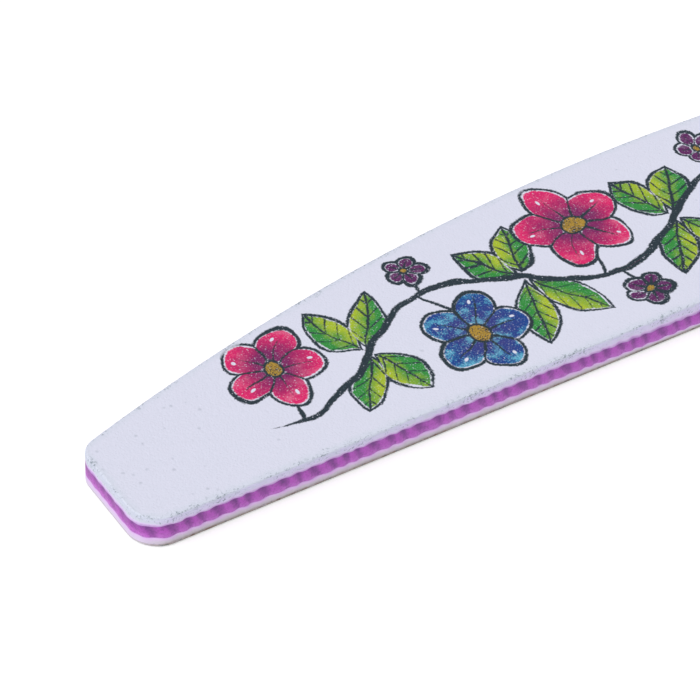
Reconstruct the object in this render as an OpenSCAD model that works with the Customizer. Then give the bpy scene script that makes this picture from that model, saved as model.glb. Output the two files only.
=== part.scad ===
// Emery board of the half-moon shape: a coloured core board between two foam plies,
// faced on both sides with grit-coated paper.
// Lengths are in millimetres. X runs along the board, the straight edge faces -Y and Z is the thickness.

/* [Outline] */
// Length of the board from end to end
board_l = 178; // [120:1:240]
// Width of the board at mid-length
board_w = 28; // [22:0.5:40]
// Width of each square-cut end
end_w = 13.2; // [10:0.1:18]
// Radius of the corners where an end meets the straight edge
straight_corner_r = 3.5; // [1:0.1:5]
// Radius of the corners where an end meets the curved edge
curved_corner_r = 2.5; // [1:0.1:5]

/* [Plies] */
// Thickness of each grit coat
grit_t = 0.15; // [0.1:0.01:0.4]
// Thickness of each backing paper
paper_t = 0.25; // [0.15:0.01:0.5]
// Thickness of each foam ply
foam_t = 0.7; // [0.4:0.05:2]
// Thickness of each adhesive film
adhesive_t = 0.05; // [0.03:0.01:0.1]
// Thickness of the core board
core_t = 1.6; // [0.8:0.05:3]

/* [Edges] */
// Distance from the outline to the edge of a grit coat, where the rim is rubbed off
grit_inset = 0.15; // [0.05:0.01:0.4]
// Distance from the outline to the edge of a foam ply
foam_inset = 0.06; // [0:0.01:0.3]
// Distance from the outline to the crests of the core's flutes
core_inset = 0.04; // [0:0.01:0.3]
// Distance from one flute of the core's edge to the next
flute_pitch = 1.9; // [1.4:0.05:4]
// Depth of each flute
flute_depth = 0.3; // [0.1:0.05:0.5]
// Distance that an adhesive film stops short of the narrowest ply beside it
adhesive_margin = 0.1; // [0.05:0.01:0.5]

/* [Hidden] */

// Heights of the plies' lower faces, from the surface that the board lies on
lower_paper_z = grit_t;
lower_paper_adhesive_z = lower_paper_z + paper_t;
lower_foam_z = lower_paper_adhesive_z + adhesive_t;
lower_core_adhesive_z = lower_foam_z + foam_t;
core_z = lower_core_adhesive_z + adhesive_t;
upper_core_adhesive_z = core_z + core_t;
upper_foam_z = upper_core_adhesive_z + adhesive_t;
upper_paper_adhesive_z = upper_foam_z + foam_t;
upper_paper_z = upper_paper_adhesive_z + adhesive_t;
upper_grit_z = upper_paper_z + paper_t;

// The adhesive films end inside whichever ply beside them is narrower
paper_adhesive_inset = foam_inset + adhesive_margin;
core_adhesive_inset = max(foam_inset, core_inset + flute_depth) + adhesive_margin;

// The curved edge is one arc: it falls from mid-length to the ends by the difference of the widths
half_l = board_l / 2;
half_w = board_w / 2;
arc_fall = board_w - end_w;
arc_r = (half_l * half_l + arc_fall * arc_fall) / (2 * arc_fall);
arc_y = half_w - arc_r;

// Centres of the corner arcs on the right half, and the direction in which the curved corner meets the edge arc
straight_corner = [half_l - straight_corner_r, straight_corner_r - half_w];
curved_corner_x = half_l - curved_corner_r;
curved_corner_y = arc_y + sqrt(pow(arc_r - curved_corner_r, 2) - pow(curved_corner_x, 2));
lean = atan2(curved_corner_y - arc_y, curved_corner_x);

// Straight pieces that each kind of arc is drawn with
corner_steps = 8;
edge_steps = 72;

// The outline as five arcs, counter-clockwise, with straight lines between them:
// centre, radius, first direction, last direction, steps
ARCS = [
    [straight_corner, straight_corner_r, -90, 0, corner_steps],
    [[curved_corner_x, curved_corner_y], curved_corner_r, 0, lean, corner_steps],
    [[0, arc_y], arc_r, lean, 180 - lean, edge_steps],
    [[-curved_corner_x, curved_corner_y], curved_corner_r, 180 - lean, 180, corner_steps],
    [[-straight_corner.x, straight_corner.y], straight_corner_r, 180, 270, corner_steps]
];

// Point of an arc in the given direction, moved into the board by inset
function on_arc(arc, direction, inset) =
    arc[0] + (arc[1] - inset) * [cos(direction), sin(direction)];

// Outline of a ply whose edge lies inset from the board's outline
function outline(inset) = [
    for (arc = ARCS, i = [0 : arc[4]])
        on_arc(arc, arc[2] + (arc[3] - arc[2]) * i / arc[4], inset)
];

// Lengths along the outline: each arc, and the straight line from its end to the next arc
function arc_length(i) = ARCS[i][1] * (ARCS[i][3] - ARCS[i][2]) * PI / 180;
function arc_end(i) = on_arc(ARCS[i], ARCS[i][3], 0);
function arc_start(i) = on_arc(ARCS[i], ARCS[i][2], 0);
function next_arc(i) = (i + 1) % len(ARCS);
function line_length(i) = norm(arc_start(next_arc(i)) - arc_end(i));
function sum(values, i = 0) = i < len(values) ? values[i] + sum(values, i + 1) : 0;
perimeter = sum([for (i = [0 : len(ARCS) - 1]) arc_length(i) + line_length(i)]);

// Point at a distance along the outline from the start of arc i, moved into the board by inset
function along(distance, inset, i = 0) =
    distance <= arc_length(i)
        ? on_arc(ARCS[i], ARCS[i][2] + distance / ARCS[i][1] * 180 / PI, inset)
        : distance <= arc_length(i) + line_length(i)
            ? on_line(i, (distance - arc_length(i)) / line_length(i), inset)
            : along(distance - arc_length(i) - line_length(i), inset, next_arc(i));
function on_line(i, share, inset) =
    on_arc(ARCS[i], ARCS[i][3], inset) * (1 - share)
    + on_arc(ARCS[next_arc(i)], ARCS[next_arc(i)][2], inset) * share;

// A whole number of flutes goes round the core, each drawn with the same few points of a cosine
flute_count = round(perimeter / flute_pitch);
flute_steps = 6;
function flute(i) = flute_depth * (1 - cos(360 * i / flute_steps)) / 2;
function fluted_outline(inset) = [
    for (i = [0 : flute_count * flute_steps - 1])
        along(perimeter * i / (flute_count * flute_steps), inset + flute(i))
];

module ply(z, thickness, inset) {
    translate([0, 0, z])
        linear_extrude(height = thickness)
            polygon(outline(inset));
}

// White abrasive on the underside, which the board lies on
module lower_grit_coat() {
    color([0.87, 0.87, 0.93]) ply(0, grit_t, grit_inset);
}

// Brown backing paper of the lower abrasive
module lower_backing_paper() {
    color([0.62, 0.57, 0.54]) ply(lower_paper_z, paper_t, 0);
}

// Film that holds the lower paper to its foam
module lower_paper_adhesive() {
    color([0.90, 0.88, 0.80]) ply(lower_paper_adhesive_z, adhesive_t, paper_adhesive_inset);
}

// Pale foam under the core
module lower_foam() {
    color([0.82, 0.78, 0.87]) ply(lower_foam_z, foam_t, foam_inset);
}

// Film that holds the lower foam to the core
module lower_core_adhesive() {
    color([0.90, 0.88, 0.80]) ply(lower_core_adhesive_z, adhesive_t, core_adhesive_inset);
}

// Violet core board, with flutes all round its edge
module core_board() {
    color([0.63, 0.35, 0.67])
        translate([0, 0, core_z])
            linear_extrude(height = core_t)
                polygon(fluted_outline(core_inset));
}

// Film that holds the upper foam to the core
module upper_core_adhesive() {
    color([0.90, 0.88, 0.80]) ply(upper_core_adhesive_z, adhesive_t, core_adhesive_inset);
}

// Pale foam over the core
module upper_foam() {
    color([0.85, 0.82, 0.90]) ply(upper_foam_z, foam_t, foam_inset);
}

// Film that holds the upper paper to its foam
module upper_paper_adhesive() {
    color([0.90, 0.88, 0.80]) ply(upper_paper_adhesive_z, adhesive_t, paper_adhesive_inset);
}

// Backing paper of the upper abrasive, whose rubbed rim shows grey
module upper_backing_paper() {
    color([0.75, 0.76, 0.83]) ply(upper_paper_z, paper_t, 0);
}

// White abrasive of the upper working face
module upper_grit_coat() {
    color([0.86, 0.86, 0.93]) ply(upper_grit_z, grit_t, grit_inset);
}

lower_grit_coat();
lower_backing_paper();
lower_paper_adhesive();
lower_foam();
lower_core_adhesive();
core_board();
upper_core_adhesive();
upper_foam();
upper_paper_adhesive();
upper_backing_paper();
upper_grit_coat();
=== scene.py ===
"""Half-moon emery board: the plies' cut edges, the printed abrasive faces and a plain stage."""

import math

import bpy
from mathutils import Matrix, Vector


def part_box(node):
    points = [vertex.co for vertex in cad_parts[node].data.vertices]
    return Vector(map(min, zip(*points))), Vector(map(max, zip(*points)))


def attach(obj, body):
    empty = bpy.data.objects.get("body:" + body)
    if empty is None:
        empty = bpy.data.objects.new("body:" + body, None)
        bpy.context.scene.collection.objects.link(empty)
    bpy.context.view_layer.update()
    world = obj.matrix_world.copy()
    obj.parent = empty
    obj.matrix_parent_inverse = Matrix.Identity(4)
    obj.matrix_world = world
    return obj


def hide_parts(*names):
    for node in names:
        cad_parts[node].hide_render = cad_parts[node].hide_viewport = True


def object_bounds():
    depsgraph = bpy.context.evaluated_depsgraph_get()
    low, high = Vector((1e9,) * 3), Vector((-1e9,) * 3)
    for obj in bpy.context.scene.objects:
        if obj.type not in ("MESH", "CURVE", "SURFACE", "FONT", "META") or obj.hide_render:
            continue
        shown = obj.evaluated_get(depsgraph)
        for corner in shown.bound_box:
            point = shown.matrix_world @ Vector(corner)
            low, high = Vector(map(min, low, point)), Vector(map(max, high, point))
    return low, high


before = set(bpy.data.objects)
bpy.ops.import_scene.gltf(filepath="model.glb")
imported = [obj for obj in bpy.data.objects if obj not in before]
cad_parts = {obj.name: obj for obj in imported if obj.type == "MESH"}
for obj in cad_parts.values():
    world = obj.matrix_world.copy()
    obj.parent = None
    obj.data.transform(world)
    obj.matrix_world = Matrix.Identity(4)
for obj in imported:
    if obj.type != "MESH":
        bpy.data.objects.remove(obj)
CAD_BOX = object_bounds()
CORE_LOW, CORE_HIGH = (corner.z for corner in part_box("core_board"))

bl_info = {
    "name": "Half-Moon Emery Board",
    "version": (1, 0, 0),
    "blender": (4, 5, 0),
    "location": "View3D > Sidebar > Emery Board",
    "description": "Builds the plies and the printed abrasive faces of a half-moon emery board",
    "category": "Object",
}

BODY = "root"
MM = 0.001

# How finely the pieces are divided
CORNER_STEPS = 12
FLUTE_STEPS = 8
CORE_ROWS = 6
FOAM_ROWS = 4
PAPER_ROWS = 2
RIM_STEPS = 3
SMOOTH_ANGLE = math.radians(50)

# How far the abrasive sheets lie inside the outline, and the share of their thickness that
# the rounding of the rim takes
SHEET_INSET = 0.03 * MM
RIM_SHARE = 0.8

# How far the crests of the flutes stand out from the outline
FLUTE_CREST = 0.03 * MM

# How far the core's edge drops towards mid-length and at the ends, and from where to where
MIDDLE_DROP = 0.45 * MM
MIDDLE_FROM, MIDDLE_TO = 44 * MM, 22 * MM
END_DROP = 0.26 * MM
END_FROM, END_TO = 87.2 * MM, 88.9 * MM

# Share of the drop at the ends that the core's lower side makes, and share of a flute's depth
# that is left there
END_LOWER = 0.15
END_FLUTES = 0.35

# How far a flute strays from its even place, in pitches, and how many times round the edge
STRAYS = ((0.13, 61), (0.1, 23))

# The stage: a wide floor just under the board, the world's light and one soft lamp
FLOOR_SIZE = 6.0
FLOOR_GAP = 0.03 * MM
FLOOR_TONE = 0.82
FLOOR_LIFT = 0.3
WORLD_STRENGTH = 0.55
LAMP_STRENGTH = 1.75
LAMP_SPREAD = math.radians(50)
LAMP_DIRECTION = Vector((-0.6, -0.12, 0.78))

# Camera in the photograph's frame: turned and tilted to the board, in degrees and metres
CAMERA_YAW = -35.91
CAMERA_PITCH = 40.47
CAMERA_ROLL = 4.03
CAMERA_TARGET = Vector((-0.0539, 0.00221, 0.0))
CAMERA_DISTANCE = 0.284
CAMERA_CLIP = 0.01
PHOTO_SIDE = 700
FOCAL_PIXELS = 2600.0
SENSOR_WIDTH = 36.0

# From here on, lengths are in millimetres, because the materials measure in them

# Where a finish changes from the long edges to the square-cut ends
SQUARE_FROM, SQUARE_TO = 86.5, 88.6

# Where specks on the face grow more common, towards the ends
SPECKS_FROM, SPECKS_TO = 68.0, 86.0

# The print: a vine waves along the board with a large blossom inside each bend, a small one
# outside it, and a pair of leaves on both sides between the bends
BEND = 22.0
LAST_BEND = 3.5
LAST_LEAF = 60.0
OUT_OF_PRINT = 40.0

# How far the whole drawing strays along and across the board, and how ragged its ink is
STRAY_ALONG = 2.2
STRAY_ACROSS = 2.0
RAGGED = 0.46

# The vine's reach to either side, and its stroke, which swells from nothing at the tip
VINE_REACH = 4.5
VINE_TIP, VINE_FULL = 73.0, 65.0
VINE_SWELL = 0.7
VINE_START = -0.26

# A leaf's size, how far a pair of leaves and each leaf in it lean, and the leaf's ribs
LEAF_LENGTH = 10.2
LEAF_SHORTEST = 0.8
LEAF_VARIETY = 0.25
LEAF_HALF_WIDTH = 2.3
LEAF_STALK = 0.8
LEAF_AXIS = math.radians(84)
LEAF_SPREAD = math.radians(27)
SIDE_RIB_STEP = 1.9
SIDE_RIB_SLOPE = 1.1
SIDE_RIB_GAP = 1.3

# The blossoms' size and distance from the midline, and what they lose of each at every bend
LARGE_BLOSSOM, LARGE_LOSS = 7.8, 0.52
LARGE_REACH, LARGE_REACH_LOSS = 5.2, 0.45
LARGE_VARIETY = 0.8
LARGE_DRIFT = 2.6
SMALL_BLOSSOM, SMALL_LOSS = 2.9, 0.2
SMALL_REACH, SMALL_REACH_LOSS = 9.1, 0.4
BLUE_BEND = 2.0
STALK_CURVE = 0.03

# A blossom's petals, each a little longer than wide, and the places of a petal's middle, of
# the heart's rim and of a vein's end, in shares of the blossom's size
PETALS = 5
PETAL_SLIMNESS = 1.12
PETAL_MIDDLE = 0.56
HEART = 0.19
VEIN_END = 0.72

# Half widths of the inked lines
RIB_LINE = 0.17
SIDE_RIB_LINE = 0.11
LEAF_LINE = 0.22
STALK_LINE = 0.24
PETAL_LINE = 0.25
HEART_LINE = 0.16
VEIN_LINE = 0.2

# How far the paint stays inside the outlines
LEAF_MARGIN = 0.25
PETAL_MARGIN = 0.3

# The light dab on a petal: its half length, how much longer than wide and how far off the vein
DAB = 0.34
DAB_SLIMNESS = 1.7
DAB_ASIDE = 0.7

# Where the random numbers of the leaves and blossoms start
LEAF_SEED = 4.7
BLOSSOM_SEED = 2.3

# A Mix node's sockets for colours, which have the same names as those for numbers
MIX_FIRST, MIX_SECOND, MIX_RESULT = 6, 7, 2


def tone(red, green, blue):
    """A colour written as it shows on screen, 0 to 255, as the linear values of a shader."""
    def linear(channel):
        share = channel / 255
        return share / 12.92 if share <= 0.04045 else ((share + 0.055) / 1.055) ** 2.4
    return linear(red), linear(green), linear(blue)


def length(name, description, default):
    """A length in metres, for the sizes that a user can change."""
    return bpy.props.FloatProperty(
        name=name, description=description, default=default, min=0.0, precision=5,
        subtype="DISTANCE", unit="LENGTH",
    )


def colour(name, description, *default):
    """A colour swatch, for the colours that a user can change."""
    return bpy.props.FloatVectorProperty(
        name=name, description=description, default=tone(*default), min=0.0, max=1.0,
        size=3, subtype="COLOR",
    )


class BoardSizes(bpy.types.PropertyGroup):
    """Sizes of the board's outline, edges and grain"""
    end_width: length("End width", "Width of each square-cut end", 13.2 * MM)
    straight_corner: length(
        "Straight corner", "Radius where an end meets the straight edge", 3.5 * MM)
    curved_corner: length(
        "Curved corner", "Radius where an end meets the curved edge", 2.5 * MM)
    rim: length("Rim", "Width of the rubbed rounding round each face", 0.2 * MM)
    cell: length("Cell", "Distance between the points of the upper face's mesh", 0.28 * MM)
    grain: length("Grain", "Size of the abrasive grains", 0.42 * MM)
    relief: length("Relief", "Height of the abrasive grains", 0.05 * MM)
    rough_cut: length("Rough cut", "Unevenness of the plies' cut edges", 0.04 * MM)
    flute_pitch: length("Flute pitch", "Distance from one flute of the edge to the next", 1.9 * MM)
    flute_depth: length("Flute depth", "Depth of each flute", 0.16 * MM)
    flute_slant: bpy.props.FloatProperty(
        name="Flute slant", description="Lean of a flute through the core, in pitches",
        default=0.4, min=-1.0, max=1.0,
    )


class BoardColours(bpy.types.PropertyGroup):
    """Colours of the plies, the edges and the print"""
    face: colour("Face", "Bare abrasive", 222, 223, 240)
    rim: colour("Rim", "Rubbed rim of the upper face", 214, 219, 234)
    side: colour("Side", "Rubbed edge of the upper paper and foam", 228, 222, 252)
    fleck: colour("Fleck", "Dark grains along the rim", 92, 112, 120)
    hem: colour("Hem", "Foam just over the core", 234, 213, 252)
    hem_low: colour("Lower hem", "Foam just under the core", 234, 198, 248)
    core: colour("Core", "Crests of the core's cut edge", 188, 84, 197)
    # Painted shade in the hollows and towards the top of the core's cut edge, also used for its
    # dark cut marks
    core_shade_and_cuts: colour("Core hollows", "Hollows of the core's cut edge", 118, 54, 136)
    # Painted light on the lower side of the core's cut edge
    core_painted_light: colour("Core lights", "Lower side of the core's cut edge", 206, 130, 218)
    stain: colour("Stain", "Violet dust on the foams beside the core", 192, 146, 212)
    foam: colour("Foam", "Lower foam", 210, 202, 214)
    paper: colour("Paper", "Cut edge of the lower paper", 172, 163, 156)
    paper_fibre: colour("Paper fibre", "Brown fibres of the lower paper", 132, 104, 92)
    paper_end: colour("Paper ends", "Lower paper where it is cut square", 214, 207, 217)
    film: colour("Film", "Adhesive film", 230, 225, 205)
    ink: colour("Ink", "Outlines and stems", 34, 50, 60)
    magenta: colour("Magenta", "Petals", 224, 30, 106)
    plum: colour("Plum", "Dark petals", 94, 28, 92)
    green: colour("Green", "Leaves", 46, 140, 58)
    lime: colour("Lime", "Light side of the leaves", 170, 190, 40)
    blue: colour("Blue", "Petals of the blossoms next to the outermost", 6, 66, 142)
    sky: colour("Sky", "Light parts of the blue petals", 60, 178, 208)
    ochre: colour("Ochre", "Blossom centres", 176, 140, 52)


class Outline:
    """The board seen from above: five arcs, counter-clockwise, joined by straight lines."""

    def __init__(self, sizes):
        self.half_length = CAD_BOX[1].x
        self.half_width = CAD_BOX[1].y
        fall = 2 * self.half_width - sizes.end_width
        self.edge_radius = (self.half_length ** 2 + fall ** 2) / (2 * fall)
        self.edge = Vector((0, self.half_width - self.edge_radius))
        self.straight_radius = sizes.straight_corner
        self.straight = Vector((
            self.half_length - self.straight_radius,
            self.straight_radius - self.half_width,
        ))
        self.curved_radius = sizes.curved_corner
        across = self.half_length - self.curved_radius
        rise = math.sqrt((self.edge_radius - self.curved_radius) ** 2 - across ** 2)
        self.curved = Vector((across, self.edge.y + rise))
        self.lean = math.atan2(self.curved.y - self.edge.y, self.curved.x)
        self.arcs = (
            (self.straight, self.straight_radius, -math.pi / 2, 0),
            (self.curved, self.curved_radius, 0, self.lean),
            (self.edge, self.edge_radius, self.lean, math.pi - self.lean),
            (Vector((-self.curved.x, self.curved.y)), self.curved_radius,
             math.pi - self.lean, math.pi),
            (Vector((-self.straight.x, self.straight.y)), self.straight_radius,
             math.pi, 1.5 * math.pi),
        )
        self.perimeter = sum(
            self.arc_length(i) + self.line_length(i) for i in range(len(self.arcs)))

    def on_arc(self, i, direction, inset):
        """Point of arc i in a direction, moved into the board by inset."""
        centre, radius = self.arcs[i % len(self.arcs)][:2]
        return centre + (radius - inset) * Vector((math.cos(direction), math.sin(direction)))

    def arc_length(self, i):
        """Length of arc i."""
        radius, first, last = self.arcs[i][1:]
        return radius * (last - first)

    def line_ends(self, i, inset):
        """Ends of the straight line that follows arc i."""
        following = self.arcs[(i + 1) % len(self.arcs)]
        return self.on_arc(i, self.arcs[i][3], inset), self.on_arc(i + 1, following[2], inset)

    def line_length(self, i):
        """Length of the straight line that follows arc i."""
        start, end = self.line_ends(i, 0)
        return (end - start).length

    def point(self, distance, inset):
        """Point at a distance along the outline, moved into the board by inset."""
        for i in range(len(self.arcs)):
            if distance <= self.arc_length(i):
                radius, first = self.arcs[i][1:3]
                return self.on_arc(i, first + distance / radius, inset)
            distance -= self.arc_length(i)
            if distance <= self.line_length(i):
                start, end = self.line_ends(i, inset)
                return start.lerp(end, distance / self.line_length(i))
            distance -= self.line_length(i)
        return self.on_arc(0, self.arcs[0][2], inset)

    def near_y(self, x, inset):
        """Y of the straight edge, or of its corner, at x."""
        past = max(0, abs(x) - self.straight.x)
        radius = self.straight_radius - inset
        return self.straight.y - math.sqrt(max(0, radius ** 2 - past ** 2))

    def far_y(self, x, inset):
        """Y of the curved edge, or of its corner, at x."""
        radius = self.curved_radius - inset
        if abs(x) > self.curved.x + radius * math.cos(self.lean):
            past = abs(x) - self.curved.x
            return self.curved.y + math.sqrt(max(0, radius ** 2 - past ** 2))
        return self.edge.y + math.sqrt((self.edge_radius - inset) ** 2 - x ** 2)

    def outward(self, x, y):
        """Direction out of the board at a point of its outline, or of one moved inwards."""
        if y <= self.straight.y and abs(x) <= self.straight.x:
            return Vector((0, -1))
        if self.straight.y < y <= self.curved.y:
            return Vector((math.copysign(1, x), 0))
        way = Vector((abs(x), y)) - self.straight
        if y > self.curved.y:
            way = Vector((abs(x), y)) - self.curved
            if way.x <= 0 or math.atan2(way.y, way.x) > self.lean:
                way = Vector((abs(x), y)) - self.edge
        way.normalize()
        return Vector((math.copysign(way.x, x), way.y))

    def stations(self, inset, step):
        """Places along X from end to end, closer together round the corners."""
        radius = self.straight_radius - inset
        half = self.half_length - inset
        corner = [
            half - radius * (1 - math.cos(math.pi / 2 * i / CORNER_STEPS))
            for i in range(CORNER_STEPS)
        ]
        count = math.ceil(2 * (half - radius) / step)
        middle = [(half - radius) * (2 * i / count - 1) for i in range(count + 1)]
        return [-x for x in corner] + middle + corner[::-1]


def arithmetic(operation, swapped=False):
    """A method of Field that adds one Math node."""
    def method(self, other):
        values = (other, self) if swapped else (self, other)
        return self.finish.math(operation, *values)
    return method


class Field:
    """A number that varies over a surface: plain arithmetic on it adds Math nodes."""

    def __init__(self, finish, socket):
        self.finish = finish
        self.socket = socket

    __add__ = arithmetic("ADD")
    __radd__ = arithmetic("ADD", swapped=True)
    __sub__ = arithmetic("SUBTRACT")
    __rsub__ = arithmetic("SUBTRACT", swapped=True)
    __mul__ = arithmetic("MULTIPLY")
    __rmul__ = arithmetic("MULTIPLY", swapped=True)
    __truediv__ = arithmetic("DIVIDE")

    def __neg__(self):
        return self * -1.0

    def __abs__(self):
        return self.finish.math("ABSOLUTE", self)


class Finish:
    """One material, whose nodes are added in the order in which they are needed."""

    def __init__(self, name):
        self.material = bpy.data.materials.new(name)
        self.material.use_nodes = True
        self.tree = self.material.node_tree
        self.tree.nodes.clear()
        self.place = self.millimetres()

    def node(self, kind, **settings):
        """A new node with the given settings."""
        made = self.tree.nodes.new(kind)
        for name, value in settings.items():
            setattr(made, name, value)
        return made

    def feed(self, target, value):
        """Links a Field or socket to an input, or sets it to a number or colour."""
        if isinstance(value, Field):
            value = value.socket
        if isinstance(value, bpy.types.NodeSocket):
            self.tree.links.new(value, target)
        elif isinstance(value, (int, float)):
            target.default_value = value
        else:
            target.default_value = (*value[:3], 1.0)

    def math(self, operation, *values):
        """A Math node."""
        made = self.node("ShaderNodeMath", operation=operation)
        for target, value in zip(made.inputs, values):
            self.feed(target, value)
        return Field(self, made.outputs[0])

    def millimetres(self):
        """The piece's own coordinates in millimetres."""
        texture = self.node("ShaderNodeTexCoord")
        scaled = self.node("ShaderNodeVectorMath", operation="SCALE")
        scaled.inputs["Scale"].default_value = 1 / MM
        self.feed(scaled.inputs[0], texture.outputs["Object"])
        return scaled.outputs[0]

    def split(self):
        """X, Y and Z of the place."""
        parts = self.node("ShaderNodeSeparateXYZ")
        self.feed(parts.inputs[0], self.place)
        return [Field(self, output) for output in parts.outputs]

    def noise(self, scale, detail=2.0, roughness=0.5):
        """Smooth noise about zero, at so many features in a millimetre."""
        made = self.node("ShaderNodeTexNoise")
        made.inputs["Scale"].default_value = scale
        made.inputs["Detail"].default_value = detail
        made.inputs["Roughness"].default_value = roughness
        self.feed(made.inputs["Vector"], self.place)
        return Field(self, made.outputs[0]) - 0.5

    def cells(self, scale):
        """Distance from the middle of a cell, and a random number of that cell."""
        made = self.node("ShaderNodeTexVoronoi")
        made.inputs["Scale"].default_value = scale
        self.feed(made.inputs["Vector"], self.place)
        parts = self.node("ShaderNodeSeparateColor")
        self.feed(parts.inputs[0], made.outputs["Color"])
        return Field(self, made.outputs["Distance"]), Field(self, parts.outputs[0])

    def random(self, seed):
        """Three random numbers from one."""
        made = self.node("ShaderNodeTexWhiteNoise", noise_dimensions="1D")
        self.feed(made.inputs["W"], seed)
        parts = self.node("ShaderNodeSeparateColor")
        self.feed(parts.inputs[0], made.outputs["Color"])
        return [Field(self, output) for output in parts.outputs]

    def attribute(self, name):
        """A number stored at the mesh's points."""
        made = self.node("ShaderNodeAttribute", attribute_name=name)
        return Field(self, made.outputs["Fac"])

    def ramp(self, value, low, high):
        """0 at low and 1 at high, held outside them."""
        made = self.node("ShaderNodeMapRange")
        for name, setting in (("Value", value), ("From Min", low), ("From Max", high)):
            self.feed(made.inputs[name], setting)
        return Field(self, made.outputs["Result"])

    def square_cut(self):
        """0 along the long edges and 1 on the square-cut ends."""
        return self.ramp(abs(self.split()[0]), SQUARE_FROM, SQUARE_TO)

    def inside(self, distance, blur=0.07):
        """1 where a distance is below zero, with a soft edge."""
        return self.ramp(distance, blur, -blur)

    def mix(self, share, first, second):
        """The first colour, over to the second as share goes from 0 to 1."""
        made = self.node("ShaderNodeMix", data_type="RGBA")
        self.feed(made.inputs["Factor"], share)
        self.feed(made.inputs[MIX_FIRST], first)
        self.feed(made.inputs[MIX_SECOND], second)
        return made.outputs[MIX_RESULT]

    def surface(self, base, roughness, specular, bump=None, depth=0.02, sheen=0.0, glow=0.0):
        """Ends the material in one Principled shader, whose relief is depth millimetres high."""
        shader = self.node("ShaderNodeBsdfPrincipled")
        self.feed(shader.inputs["Base Color"], base)
        self.feed(shader.inputs["Roughness"], roughness)
        shader.inputs["Specular IOR Level"].default_value = specular
        shader.inputs["Sheen Weight"].default_value = sheen
        self.feed(shader.inputs["Emission Strength"], glow)
        if bump is not None:
            relief = self.node("ShaderNodeBump")
            relief.inputs["Strength"].default_value = 1.0
            relief.inputs["Distance"].default_value = depth * MM
            self.feed(relief.inputs["Height"], bump)
            self.feed(shader.inputs["Normal"], relief.outputs[0])
        output = self.node("ShaderNodeOutputMaterial")
        self.feed(output.inputs["Surface"], shader.outputs[0])
        return self.material


def smaller(first, *others):
    """The least of several fields."""
    for other in others:
        first = first.finish.math("MINIMUM", first, other)
    return first


def larger(first, *others):
    """The greatest of several fields."""
    for other in others:
        first = first.finish.math("MAXIMUM", first, other)
    return first


def hypotenuse(first, second):
    """Distance from the origin of two coordinates."""
    return first.finish.math("SQRT", first * first + second * second)


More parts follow.
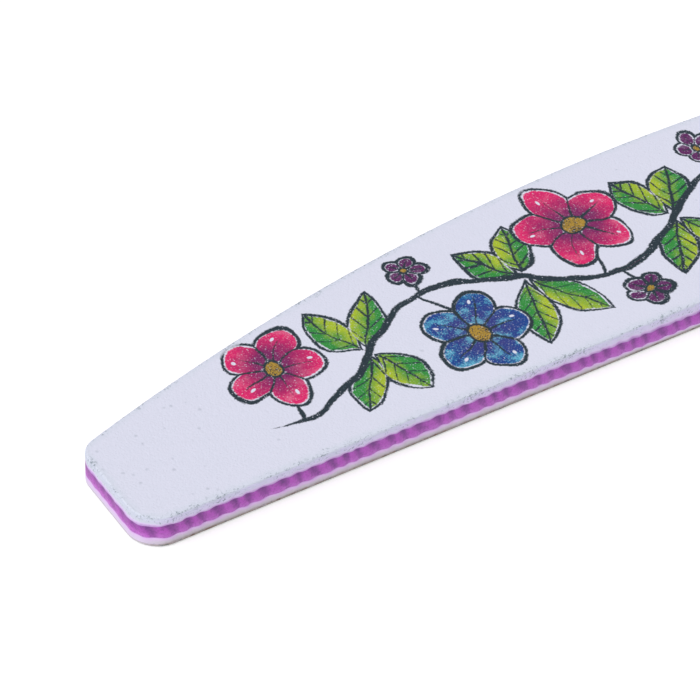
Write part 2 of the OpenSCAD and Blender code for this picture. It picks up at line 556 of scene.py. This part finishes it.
class Print:
    """The printed ornament: its shapes are distances, which are below zero inside them."""

    def __init__(self, finish, colours, x, y, edge_radius):
        self.finish = finish
        self.colours = colours
        drawn = finish.noise(0.16, 1.0)
        # The midline falls half as far as the curved edge
        fall = x * x / (4 * edge_radius)
        self.along = x + drawn * STRAY_ALONG
        self.across = y + fall + finish.noise(0.2, 1.0) * STRAY_ACROSS
        self.ragged = finish.noise(3.6, 3.0, 0.65) * RAGGED + drawn * 0.35
        self.wash = finish.noise(0.55, 3.0, 0.6)
        self.grain = finish.noise(5.5, 2.0, 0.6)
        self.dots = finish.ramp(self.grain, 0.08, 0.22)
        self.pits = finish.ramp(self.grain, -0.06, -0.2)
        self.ink = finish.mix(self.dots * 0.55, colours.ink, colours.fleck)

    def over(self, bare):
        """The whole print over the bare abrasive colour."""
        stem, vine_lines = self.vine()
        leaf, leaf_lines, leaf_side = self.leaves(stem)
        blossom = self.blossoms(stem)
        filled = leaf + LEAF_MARGIN + self.ragged + self.wash * 0.9
        result = self.painted(bare, filled, self.leaf_paint(leaf_side))
        lines = smaller(vine_lines, leaf_lines, blossom["stalk"])
        result = self.painted(result, lines + self.ragged, self.ink)
        result = self.painted(result, blossom["petal"], bare)
        return self.hearts(self.petals(result, blossom), blossom)

    def painted(self, under, shape, paint):
        """A paint over a colour, inside a shape."""
        return self.finish.mix(self.finish.inside(shape), under, paint)

    def grained(self, paint, bare_share, dark_share, dark):
        """A paint with bare grains and dark pits in it."""
        paint = self.finish.mix(self.dots * bare_share, paint, self.colours.face)
        return self.finish.mix(self.pits * dark_share, paint, dark)

    def vine(self):
        """Height of the waving stem at each place, and its line."""
        finish = self.finish
        phase = self.along * (math.pi / BEND)
        height = finish.math("COSINE", phase) * VINE_REACH
        slope = finish.math("SINE", phase) * (VINE_REACH * math.pi / BEND)
        gap = abs(self.across - height) / finish.math("SQRT", slope * slope + 1.0)
        swell = finish.ramp(abs(self.along), VINE_TIP, VINE_FULL) * VINE_SWELL
        return height, gap - (swell + VINE_START)

    def leaves(self, stem):
        """The leaves' shape and lines, and how far each place is to one side of a leaf's rib."""
        finish = self.finish
        bend = finish.math("FLOOR", self.along / BEND)
        offset = self.along - (bend + 0.5) * BEND
        rising = -finish.math("COSINE", bend * math.pi)
        side = finish.math("SIGN", self.across - stem)
        x = offset * rising * side
        y = self.across * side
        luck = finish.random(bend + side * 0.3 + LEAF_SEED)[0]
        up = x * math.cos(LEAF_AXIS) + y * math.sin(LEAF_AXIS)
        fold = abs(y * math.cos(LEAF_AXIS) - x * math.sin(LEAF_AXIS))
        run = up * math.cos(LEAF_SPREAD) + fold * math.sin(LEAF_SPREAD) - LEAF_STALK
        off = fold * math.cos(LEAF_SPREAD) - up * math.sin(LEAF_SPREAD)
        share = run / (LEAF_LENGTH * (LEAF_SHORTEST + LEAF_VARIETY * luck))
        belly = share * (1.0 - share) * (4 * LEAF_HALF_WIDTH)
        past_last = (abs(self.along - offset) - LAST_LEAF) * OUT_OF_PRINT
        shape = larger(abs(off) - belly, past_last)
        rib = larger(abs(off) - RIB_LINE, shape)
        wave = finish.math("FRACT", (run - abs(off) * SIDE_RIB_SLOPE) / SIDE_RIB_STEP)
        side_ribs = larger(abs(wave - 0.5) * SIDE_RIB_GAP - SIDE_RIB_LINE, shape + 0.3)
        return shape, smaller(abs(shape) * 0.9 - LEAF_LINE, rib, side_ribs), off

    def leaf_paint(self, side):
        """Green on one side of a rib and lime on the other."""
        light = self.finish.ramp(side * 0.5 + self.wash * 2.4, -0.9, 0.4)
        paint = self.finish.mix(light, self.colours.lime, self.colours.green)
        return self.grained(paint, 0.4, 0.35, self.colours.green)

    def blossoms(self, stem):
        """The blossom nearest to each place: its measures there, and which kind it is."""
        finish = self.finish
        bend = finish.math("ROUND", self.along / BEND)
        outer = abs(bend)
        crest = finish.math("COSINE", bend * math.pi)
        small = finish.ramp((self.across - stem) * crest, -0.01, 0.01)
        luck = finish.random(bend + small * 0.4 + BLOSSOM_SEED)
        x = self.along - bend * BEND - (luck[0] - 0.5) * (1.0 - small) * LARGE_DRIFT
        large_reach = outer * LARGE_REACH_LOSS - LARGE_REACH
        small_reach = SMALL_REACH - outer * SMALL_REACH_LOSS
        y = self.across - crest * (large_reach + (small_reach - large_reach) * small)
        large_size = LARGE_BLOSSOM - outer * LARGE_LOSS + (luck[1] - 0.5) * LARGE_VARIETY
        small_size = SMALL_BLOSSOM - outer * SMALL_LOSS
        size = large_size + (small_size - large_size) * small
        radius = hypotenuse(x, y)
        turn = finish.math("ARCTAN2", y, x) + luck[2] * math.tau
        half_petal = math.pi / PETALS
        fold = finish.math("WRAP", turn, half_petal, -half_petal)
        out = radius * finish.math("COSINE", fold)
        side = radius * finish.math("SINE", fold)
        petal = hypotenuse(out - size * PETAL_MIDDLE, side * PETAL_SLIMNESS)
        past_last = (outer + small - LAST_BEND) * OUT_OF_PRINT
        stalk = abs(x + y * y * STALK_CURVE) - STALK_LINE
        return {
            "petal": larger(petal - size * (1 - PETAL_MIDDLE), past_last),
            "crease": radius * (half_petal - abs(fold)),
            "stalk": larger(stalk, y * crest * (small * 2.0 - 1.0), past_last),
            "heart": larger(radius - size * HEART, past_last),
            "radius": radius / size,
            "size": size,
            "out": out,
            "side": side,
            "small": small,
            "blue": finish.math("COMPARE", outer, BLUE_BEND, 0.5) * (1.0 - small),
            "plum": larger(finish.math("LESS_THAN", outer, 0.5), small),
        }

    def petal_paint(self, blossom):
        """One colour for each blossom, darker towards its heart."""
        finish = self.finish
        colours = self.colours
        cloud = finish.ramp(self.wash + self.grain * 0.6, 0.0, 0.2)
        paint = finish.mix(blossom["plum"], colours.magenta, colours.plum)
        paint = finish.mix(
            blossom["blue"], paint, finish.mix(cloud, colours.blue, colours.sky))
        paint = finish.mix(finish.ramp(self.wash, 0.02, 0.3) * 0.2, paint, colours.face)
        inner = finish.ramp(blossom["radius"] + self.wash * 0.6, 0.85, 0.3)
        paint = finish.mix(inner * (0.85 - blossom["blue"] * 0.6), paint, colours.plum)
        return self.grained(paint, 0.35, 0.4, colours.plum)

    def petals(self, under, blossom):
        """Painted petals with inked outlines, creases and veins."""
        petal = blossom["petal"]
        radius = blossom["radius"]
        filled = petal + PETAL_MARGIN + self.ragged + self.wash * 0.5
        result = self.painted(under, filled, self.petal_paint(blossom))
        vein = larger(abs(blossom["side"]) - VEIN_LINE * (1.0 - radius), radius - VEIN_END)
        inner_lines = larger(smaller(blossom["crease"] - RIB_LINE, vein), petal)
        lines = smaller(abs(petal) - PETAL_LINE, inner_lines)
        return self.painted(result, lines + self.ragged, self.ink)

    def hearts(self, under, blossom):
        """Seeds inside an inked ring, and a light dab on each petal of a large blossom."""
        finish = self.finish
        heart = blossom["heart"] + self.ragged * 0.6
        seeds = finish.ramp(self.grain + self.wash * 0.5, -0.12, 0.0)
        result = self.painted(under, heart, finish.mix(seeds, self.ink, self.colours.ochre))
        result = self.painted(result, abs(heart) - HEART_LINE, self.ink)
        along_petal = blossom["out"] - blossom["size"] * VEIN_END
        dab = hypotenuse(along_petal, (blossom["side"] - DAB_ASIDE) * DAB_SLIMNESS) - DAB
        gloss = finish.inside(larger(dab, blossom["petal"] + 0.6)) * (1.0 - blossom["small"])
        return finish.mix(gloss, result, self.colours.face)


def dark_grains(finish, amount):
    """Clumps of dark grains: more of them as amount rises from below zero."""
    fine = finish.noise(3.2, 4.0, 0.75)
    clump = finish.noise(0.45, 2.0)
    return finish.ramp(fine + clump * 0.3 + amount, 0.02, 0.15) * 0.7


def grit_face(name, colours, outline, under):
    """Printed abrasive: bare grains and ink, rubbed along the rim."""
    finish = Finish(name)
    x, y, _ = finish.split()
    if under:
        x = -x
    from_edge = finish.attribute("from_edge")
    mottle = finish.noise(0.9, 3.0)
    wear = finish.noise(1.4, 4.0, 0.65)
    bare = finish.mix(finish.ramp(mottle, -0.2, 0.25) * 0.18, colours.face, colours.rim)
    worn = finish.ramp(from_edge + wear * 1.6, 1.0, 0.2)
    result = Print(finish, colours, x, y, outline.edge_radius / MM).over(bare)
    result = finish.mix(worn * 0.9, result, bare)

    rubbed = colours.rim
    if under:
        worn = finish.ramp(from_edge + wear * 0.8, 0.6, 0.35)
        rubbed = finish.mix(finish.square_cut(), colours.paper, colours.paper_end)
    result = finish.mix(worn * 0.85, result, rubbed)
    rim = finish.ramp(from_edge + wear, 1.7, 0.1)
    flecks = dark_grains(finish, rim * rim * 0.21 - 0.2) * (0.35 + rim * 0.65)
    result = finish.mix(flecks, result, colours.fleck)

    speck, luck = finish.cells(1.3)
    common = finish.ramp(abs(x), SPECKS_FROM, SPECKS_TO) * 0.12
    chosen = finish.ramp(luck + common + mottle * 0.3, 0.94, 1.0)
    specks = finish.inside(speck + wear * 0.5 - chosen * 0.22, 0.14) * chosen
    result = finish.mix(specks * 0.25, result, colours.fleck)

    sparkle, luck = finish.cells(3.4)
    glint = finish.inside(sparkle - 0.26, 0.06) * finish.ramp(luck, 0.55, 1.0)
    result = finish.mix(glint * 0.6, result, colours.face)
    relief = finish.noise(5.0, 3.0, 0.6) - sparkle * 0.6
    return finish.surface(result, 0.8, 0.35, bump=relief, depth=0.05)


def rubbed_edge(name, colours):
    """Pale rubbed edge of the upper paper, with dark grains caught in it."""
    finish = Finish(name)
    side = finish.mix(finish.square_cut(), colours.side, colours.rim)
    shade = finish.mix(finish.ramp(finish.noise(0.8, 4.0), -0.2, 0.2), colours.rim, side)
    shade = finish.mix(dark_grains(finish, -0.05), shade, colours.fleck)
    return finish.surface(shade, 0.85, 0.25, bump=finish.noise(4.0, 3.0), depth=0.04)


def upper_foam_edge(name, colours):
    """Foam over the core: dusty beside it, then a bright hem, and rubbed pale above that."""
    finish = Finish(name)
    ripple = finish.noise(0.9, 4.0, 0.6)
    rise = finish.attribute("rise") + ripple * 0.7
    side = finish.mix(finish.square_cut(), colours.side, colours.rim)
    rubbed = finish.mix(finish.ramp(ripple, -0.3, 0.0), colours.rim, side)
    dusty = finish.mix(finish.ramp(rise, 0.0, 0.4), colours.stain, colours.hem)
    shade = finish.mix(finish.ramp(rise, 0.3, 0.6), dusty, rubbed)
    grains = dark_grains(finish, finish.ramp(rise, 0.0, 0.6) * 0.24 - 0.26)
    shade = finish.mix(grains, shade, colours.fleck)
    return finish.surface(shade, 0.8, 0.2, bump=finish.noise(6.0, 2.0), depth=0.03)


def core_edge(name, colours):
    """Violet cut edge: bright on the crests, with painted shade in the hollows and towards the
    top, and painted light low down.
    """
    finish = Finish(name)
    rise = finish.attribute("rise")
    hollow = finish.attribute("hollow")
    streak = finish.noise(1.1, 4.0, 0.6)
    # Painted light: lighter towards the bottom of the cut edge, broken up by streaks
    shade = finish.mix(
        finish.ramp(rise + streak * 0.6, 0.5, 0.0) * 0.6, colours.core, colours.core_painted_light)
    rough_cut = finish.noise(4.0, 4.0, 0.7)
    # Painted shade: darker in the flutes' hollows and towards the top, mottled by streaks and cut
    # marks, and a little darker on the square-cut ends
    dim = hollow * 0.7 + rise * 0.55 + streak * 0.7 + rough_cut * 0.8 + finish.square_cut() * 0.3
    shade = finish.mix(finish.ramp(dim, 0.45, 1.2), shade, colours.core_shade_and_cuts)
    # Dark cut marks, in the same colour as the painted shade
    shade = finish.mix(finish.ramp(rough_cut, 0.0, 0.16) * 0.5, shade, colours.core_shade_and_cuts)
    return finish.surface(shade, 0.55, 0.4, bump=rough_cut, depth=0.03, sheen=0.1)


def lower_foam_edge(name, colours):
    """Pale foam under the core, tinted where it meets it and soiled where it meets the paper."""
    finish = Finish(name)
    square_cut = finish.square_cut()
    rise = finish.attribute("rise") + finish.noise(0.9, 4.0, 0.6) * 0.5
    shade = finish.mix(finish.ramp(rise, 0.35, 0.85), colours.foam, colours.hem_low)
    shade = finish.mix(finish.ramp(rise, 0.8, 1.05) * 0.6, shade, colours.stain)
    soil = finish.ramp(rise, 0.3, 0.0) * (1.0 - square_cut)
    shade = finish.mix(soil * 0.42, shade, colours.paper_fibre)
    grains = dark_grains(finish, finish.ramp(rise, 0.5, 0.0) * 0.22 - 0.24)
    shade = finish.mix(grains, shade, colours.fleck)
    shade = finish.mix(square_cut * finish.ramp(rise, 0.8, 0.4) * 0.6, shade, colours.hem)
    return finish.surface(shade, 0.85, 0.2, bump=finish.noise(6.0, 2.0), depth=0.04)


def brown_paper(name, colours):
    """Cut edge of brown backing paper, streaked with darker fibres."""
    finish = Finish(name)
    fibre = finish.noise(1.2, 5.0, 0.65)
    shade = finish.mix(finish.ramp(fibre, 0.0, 0.16), colours.paper, colours.paper_fibre)
    shade = finish.mix(finish.ramp(finish.noise(0.5, 2.0), 0.02, 0.2) * 0.5, shade, colours.foam)
    shade = finish.mix(dark_grains(finish, 0.0), shade, colours.fleck)
    shade = finish.mix(finish.square_cut() * 0.85, shade, colours.paper_end)
    return finish.surface(shade, 0.9, 0.15, bump=fibre, depth=0.05)


def adhesive(name, colours):
    """Dried glue, a little uneven in colour and gloss."""
    finish = Finish(name)
    flow = finish.noise(0.7, 3.0)
    shade = finish.mix(finish.ramp(flow, -0.2, 0.2) * 0.5, colours.film, colours.paper)
    return finish.surface(shade, finish.ramp(flow, -0.4, 0.5), 0.4, bump=flow, depth=0.02)


def backdrop(name):
    """White to the camera, also in reflections, and pale to every other ray."""
    finish = Finish(name)
    rays = finish.node("ShaderNodeLightPath").outputs
    seen = finish.math("MAXIMUM", rays["Is Camera Ray"], rays["Is Glossy Ray"])
    return finish.surface((FLOOR_TONE,) * 3, 0.9, 0.1, glow=seen * FLOOR_LIFT)


def deselect():
    """Leaves edit mode with nothing selected, so that an operator acts on new work alone."""
    if bpy.context.object and bpy.context.object.mode == "EDIT":
        bpy.ops.object.mode_set(mode="OBJECT")
    bpy.ops.object.select_all(action="DESELECT")


def named(name):
    """The active object under its piece's name."""
    piece = bpy.context.object
    piece.name = name
    piece.data.name = name
    return piece


def store(piece, name, values):
    """Keeps one number for each of the mesh's points."""
    attribute = piece.data.attributes.new(name, "FLOAT", "POINT")
    attribute.data.foreach_set("value", values)


def displace(piece, basis, size, height, points):
    """Moves the given points in or out by a noise texture, and applies it."""
    group = piece.vertex_groups.new(name="relief")
    group.add(points, 1.0, "REPLACE")
    texture = bpy.data.textures.new(piece.name, "CLOUDS")
    texture.noise_basis = basis
    texture.noise_scale = size
    texture.noise_depth = 1
    modifier = piece.modifiers.new("relief", "DISPLACE")
    modifier.texture = texture
    modifier.texture_coords = "LOCAL"
    modifier.direction = "NORMAL"
    modifier.vertex_group = group.name
    modifier.strength = height
    modifier.mid_level = 0.5
    bpy.ops.object.modifier_apply(modifier=modifier.name)
    piece.vertex_groups.clear()


def widen_rim(piece, outline, outward, drop):
    """Extrudes the selected border, moves the new edge outwards and down, and lists its points."""
    bpy.ops.mesh.extrude_edges_move()
    bpy.ops.object.mode_set(mode="OBJECT")
    ring = [v for v in piece.data.vertices if v.select]
    for vertex in ring:
        way = outline.outward(vertex.co.x, vertex.co.y)
        vertex.co += Vector((way.x * outward, way.y * outward, -drop))
    bpy.ops.object.mode_set(mode="EDIT")
    return [vertex.index for vertex in ring]


def sheet(name, outline, face, back, rim, step, relief, grain):
    """A closed sheet of grains: a finely divided face, a rounded rim and a flat back."""
    thickness = face - back
    inset = SHEET_INSET + rim
    xs = outline.stations(inset, step)
    columns = len(xs) - 1
    rows = round(2 * outline.half_width / step)
    deselect()
    bpy.ops.mesh.primitive_grid_add(x_subdivisions=columns, y_subdivisions=rows, size=2)
    piece = named(name)
    for vertex in piece.data.vertices:
        x = xs[round((vertex.co.x + 1) / 2 * columns)]
        near = outline.near_y(x, inset)
        far = outline.far_y(x, inset)
        vertex.co = (x, near + (far - near) * (vertex.co.y + 1) / 2, face)
    bpy.ops.object.mode_set(mode="EDIT")
    bpy.ops.mesh.select_mode(type="EDGE")
    bpy.ops.mesh.select_all(action="SELECT")
    bpy.ops.mesh.region_to_loop()
    for i in range(RIM_STEPS):
        turn, following = (math.pi / 2 * k / RIM_STEPS for k in (i, i + 1))
        widen_rim(
            piece, outline, rim * (math.sin(following) - math.sin(turn)),
            thickness * RIM_SHARE * (math.cos(turn) - math.cos(following)))
    last = widen_rim(piece, outline, 0.0, thickness * (1 - RIM_SHARE))
    bpy.ops.mesh.edge_face_add()
    bpy.ops.mesh.select_all(action="SELECT")
    bpy.ops.mesh.normals_make_consistent(inside=False)
    bpy.ops.object.mode_set(mode="OBJECT")
    kept = set(last)
    moved = [v.index for v in piece.data.vertices if v.index not in kept]
    displace(piece, "VORONOI_F1", grain, -relief, moved)
    store(piece, "from_edge", [edge_distance(outline, v.co) / MM for v in piece.data.vertices])
    return piece


def edge_distance(outline, place):
    """Distance in from the board's outline."""
    x = max(-outline.half_length, min(outline.half_length, place.x))
    return max(0.0, min(
        place.y - outline.near_y(x, 0),
        outline.far_y(x, 0) - place.y,
        outline.half_length - abs(x),
    ))


def eased(x, start, end):
    """0 at the first distance from mid-length and 1 at the second, with a smooth rise."""
    share = max(0.0, min(1.0, (abs(x) - start) / (end - start)))
    return share * share * (3 - 2 * share)


def band(name, outline, low, high, rows, crest, shape):
    """A ply with a shaped edge.

    Of each point, shape gives the share of a flute's hollow, and how much the point follows
    the core's drop at mid-length and at the ends.
    """
    sizes = bpy.context.scene.board_sizes
    flutes = round(outline.perimeter / sizes.flute_pitch)
    deselect()
    bpy.ops.mesh.primitive_cylinder_add(
        vertices=flutes * FLUTE_STEPS, radius=1, depth=2, end_fill_type="NGON")
    piece = named(name)
    bpy.ops.object.mode_set(mode="EDIT")
    for row in range(1, rows):
        bpy.ops.mesh.select_all(action="SELECT")
        bpy.ops.mesh.bisect(plane_co=(0, 0, 2 * row / rows - 1), plane_no=(0, 0, 1))
    bpy.ops.object.mode_set(mode="OBJECT")
    hollows = []
    rises = []
    for vertex in piece.data.vertices:
        turn = math.atan2(vertex.co.y, vertex.co.x) / math.tau % 1
        share = (vertex.co.z + 1) / 2
        height = low + (high - low) * share
        turns = turn * flutes + sum(
            reach * math.sin(math.tau * times * turn) for reach, times in STRAYS)
        hollow, middle, end = shape(turns, height, share)
        at_end = eased(outline.point(turn * outline.perimeter, 0).x, END_FROM, END_TO)
        hollow *= 1 - (1 - END_FLUTES) * at_end
        place = outline.point(turn * outline.perimeter, sizes.flute_depth * hollow - crest)
        drop = MIDDLE_DROP * middle * eased(place.x, MIDDLE_FROM, MIDDLE_TO)
        drop += END_DROP * end * at_end
        vertex.co = (place.x, place.y, height - drop)
        hollows.append(hollow)
        rises.append(share)
    store(piece, "hollow", hollows)
    store(piece, "rise", rises)
    displace(piece, "ORIGINAL_PERLIN", sizes.grain, sizes.rough_cut, list(range(len(hollows))))
    return piece


def finished(piece, material, slot, *nodes):
    """Shades a piece, gives it its material, and sets it in its nodes' place."""
    piece.data.materials.clear()
    piece.data.materials.append(material)
    deselect()
    piece.select_set(True)
    bpy.context.view_layer.objects.active = piece
    bpy.ops.object.shade_smooth_by_angle(angle=SMOOTH_ANGLE)
    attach(piece, BODY)
    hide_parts(*nodes)


def flute(sizes, turns, height):
    """Share of a flute's depth at so many flutes along the edge and at a height."""
    lean = sizes.flute_slant * (CORE_HIGH - height) / (CORE_HIGH - CORE_LOW)
    return (1 - math.cos(math.tau * (turns - lean))) / 2


def node_heights(node):
    """Lowest and highest Z of a node."""
    low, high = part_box(node)
    return low.z, high.z


class BoardPart:
    """What the operators share: sizes, colours and the outline."""
    bl_options = {"REGISTER", "UNDO"}

    def execute(self, context):
        """Builds the part, and raises an error if it can't."""
        sizes = context.scene.board_sizes
        self.build(sizes, context.scene.board_colours, Outline(sizes))
        return {"FINISHED"}


class MakeUpperFace(BoardPart, bpy.types.Operator):
    """Build the printed abrasive on top"""
    bl_idname = "emery_board.upper_face"
    bl_label = "Upper Abrasive Face"

    def build(self, sizes, colours, outline):
        """The finely divided sheet with its print."""
        low, high = node_heights("upper_grit_coat")
        piece = sheet(
            "upper_abrasive_face", outline, high, low, sizes.rim, sizes.cell,
            sizes.relief, sizes.grain)
        material = grit_face("printed_upper_abrasive", colours, outline, under=False)
        finished(piece, material, "grit_coat", "upper_grit_coat")


class MakeLowerFace(BoardPart, bpy.types.Operator):
    """Build the printed abrasive underneath"""
    bl_idname = "emery_board.lower_face"
    bl_label = "Lower Abrasive Face"

    def build(self, sizes, colours, outline):
        """The underside's sheet, less finely divided."""
        low, high = node_heights("lower_grit_coat")
        piece = sheet(
            "lower_abrasive_face", outline, low, high, sizes.rim, 2 * sizes.cell,
            0.5 * sizes.relief, sizes.grain)
        material = grit_face("printed_lower_abrasive", colours, outline, under=True)
        finished(piece, material, "grit_coat", "lower_grit_coat")


class MakePapers(BoardPart, bpy.types.Operator):
    """Build the two backing papers"""
    bl_idname = "emery_board.papers"
    bl_label = "Backing Papers"

    def build(self, sizes, colours, outline):
        """Both papers, with slightly rough edges and neither flutes nor drop."""
        def plain(turns, height, share):
            return 0.0, 0.0, 0.0

        for side, material in (
            ("upper", rubbed_edge("rubbed_upper_paper", colours)),
            ("lower", brown_paper("brown_lower_paper", colours)),
        ):
            node = f"{side}_backing_paper"
            low, high = node_heights(node)
            piece = band(f"{side}_paper", outline, low, high, PAPER_ROWS, 0.0, plain)
            finished(piece, material, "backing_paper", node)


class MakeFoams(BoardPart, bpy.types.Operator):
    """Build the two foam plies"""
    bl_idname = "emery_board.foams"
    bl_label = "Foam Plies"

    def build(self, sizes, colours, outline):
        """Both foams, fluted where they meet the core and plain where they meet the paper."""
        paper_top = node_heights("lower_backing_paper")[1]
        paper_bottom = node_heights("upper_backing_paper")[0]

        def lower(turns, height, share):
            return flute(sizes, turns, height) * share, share, END_LOWER * share

        def upper(turns, height, share):
            return flute(sizes, turns, height) * (1 - share), 1 - share, 1 - share

        piece = band(
            "lower_foam_ply", outline, paper_top, CORE_LOW, FOAM_ROWS, FLUTE_CREST, lower)
        material = lower_foam_edge("pale_foam", colours)
        finished(piece, material, "foam", "lower_foam")
        piece = band(
            "upper_foam_ply", outline, CORE_HIGH, paper_bottom, FOAM_ROWS, FLUTE_CREST, upper)
        material = upper_foam_edge("hemmed_foam", colours)
        finished(piece, material, "foam", "upper_foam")


class MakeCore(BoardPart, bpy.types.Operator):
    """Build the fluted core"""
    bl_idname = "emery_board.core"
    bl_label = "Fluted Core"

    def build(self, sizes, colours, outline):
        """The violet board with slanted flutes all round."""
        def fluted(turns, height, share):
            return flute(sizes, turns, height), 1.0, END_LOWER + (1 - END_LOWER) * share

        piece = band(
            "fluted_core", outline, CORE_LOW, CORE_HIGH, CORE_ROWS, FLUTE_CREST, fluted)
        material = core_edge("violet_core", colours)
        finished(piece, material, "core", "core_board")


class DressFilms(BoardPart, bpy.types.Operator):
    """Give the adhesive films their finish"""
    bl_idname = "emery_board.films"
    bl_label = "Adhesive Films"

    def build(self, sizes, colours, outline):
        """The films keep their own shape."""
        material = adhesive("dried_glue", colours)
        for name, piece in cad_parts.items():
            if name.endswith("_adhesive"):
                piece.data.materials.clear()
                piece.data.materials.append(material)


class SetStage(bpy.types.Operator):
    """Set the floor, the light and the camera"""
    bl_idname = "emery_board.stage"
    bl_label = "Stage"
    bl_options = {"REGISTER", "UNDO"}

    def execute(self, context):
        """Builds the stage."""
        self.floor()
        self.light(context.scene)
        self.camera(context.scene)
        return {"FINISHED"}

    def floor(self):
        """A wide pale floor under the board."""
        deselect()
        bpy.ops.mesh.primitive_plane_add(
            size=FLOOR_SIZE, location=(0, 0, CAD_BOX[0].z - FLOOR_GAP))
        floor = named("floor")
        floor.data.materials.append(backdrop("white_floor"))

    def light(self, scene):
        """Even light all round and one soft lamp from the left."""
        scene.view_settings.view_transform = "Standard"
        world = bpy.data.worlds.new("studio")
        scene.world = world
        world.use_nodes = True
        nodes = world.node_tree.nodes
        links = world.node_tree.links
        background = nodes["Background"]
        background.inputs["Color"].default_value = (1.0, 1.0, 1.0, 1.0)
        rays = nodes.new("ShaderNodeLightPath")
        strength = nodes.new("ShaderNodeMapRange")
        strength.inputs["To Min"].default_value = WORLD_STRENGTH
        strength.inputs["To Max"].default_value = 1.0
        links.new(rays.outputs["Is Camera Ray"], strength.inputs["Value"])
        links.new(strength.outputs[0], background.inputs["Strength"])
        bpy.ops.object.light_add(type="SUN")
        lamp = bpy.context.object
        lamp.name = "soft_lamp"
        lamp.data.energy = LAMP_STRENGTH
        lamp.data.angle = LAMP_SPREAD
        lamp.rotation_euler = LAMP_DIRECTION.to_track_quat("Z", "Y").to_euler()

    def camera(self, scene):
        """The photograph's viewpoint."""
        yaw, pitch, roll = (
            math.radians(angle) for angle in (CAMERA_YAW, CAMERA_PITCH, CAMERA_ROLL))
        back = Vector((
            math.sin(yaw) * math.cos(pitch), -math.cos(yaw) * math.cos(pitch), math.sin(pitch)))
        right = Vector((math.cos(yaw), math.sin(yaw), 0))
        up = back.cross(right)
        side = right * math.cos(roll) + up * math.sin(roll)
        top = up * math.cos(roll) - right * math.sin(roll)
        data = bpy.data.cameras.new("camera")
        data.sensor_width = SENSOR_WIDTH
        data.lens = FOCAL_PIXELS * SENSOR_WIDTH / PHOTO_SIDE
        data.clip_start = CAMERA_CLIP
        camera = bpy.data.objects.new("camera", data)
        scene.collection.objects.link(camera)
        place = CAMERA_TARGET + back * CAMERA_DISTANCE
        turn = Matrix((side, top, back)).transposed().to_4x4()
        camera.matrix_world = Matrix.Translation(place) @ turn
        scene.camera = camera


MAKERS = (
    SetStage, MakeUpperFace, MakeLowerFace, MakePapers, MakeFoams, MakeCore, DressFilms)


class BoardPanel(bpy.types.Panel):
    """Lists the operators in the order in which they build the board"""
    bl_idname = "VIEW3D_PT_emery_board"
    bl_label = "Emery Board"
    bl_space_type = "VIEW_3D"
    bl_region_type = "UI"
    bl_category = "Emery Board"

    def draw(self, context):
        """Sizes, colours and one button for each operator."""
        layout = self.layout
        for group in (context.scene.board_sizes, context.scene.board_colours):
            box = layout.box()
            for name in type(group).__annotations__:
                box.prop(group, name)
        for maker in MAKERS:
            layout.operator(maker.bl_idname)


CLASSES = (BoardSizes, BoardColours, *MAKERS, BoardPanel)


def register():
    """Registers the classes and the scene's settings."""
    for item in CLASSES:
        bpy.utils.register_class(item)
    bpy.types.Scene.board_sizes = bpy.props.PointerProperty(type=BoardSizes)
    bpy.types.Scene.board_colours = bpy.props.PointerProperty(type=BoardColours)


def unregister():
    """Removes the scene's settings and the classes."""
    del bpy.types.Scene.board_colours
    del bpy.types.Scene.board_sizes
    for item in reversed(CLASSES):
        bpy.utils.unregister_class(item)


def main():
    """Builds the stage and the board."""
    register()
    bpy.ops.emery_board.stage()
    bpy.ops.emery_board.upper_face()
    bpy.ops.emery_board.lower_face()
    bpy.ops.emery_board.papers()
    bpy.ops.emery_board.foams()
    bpy.ops.emery_board.core()
    bpy.ops.emery_board.films()


if __name__ == "__main__":
    main()
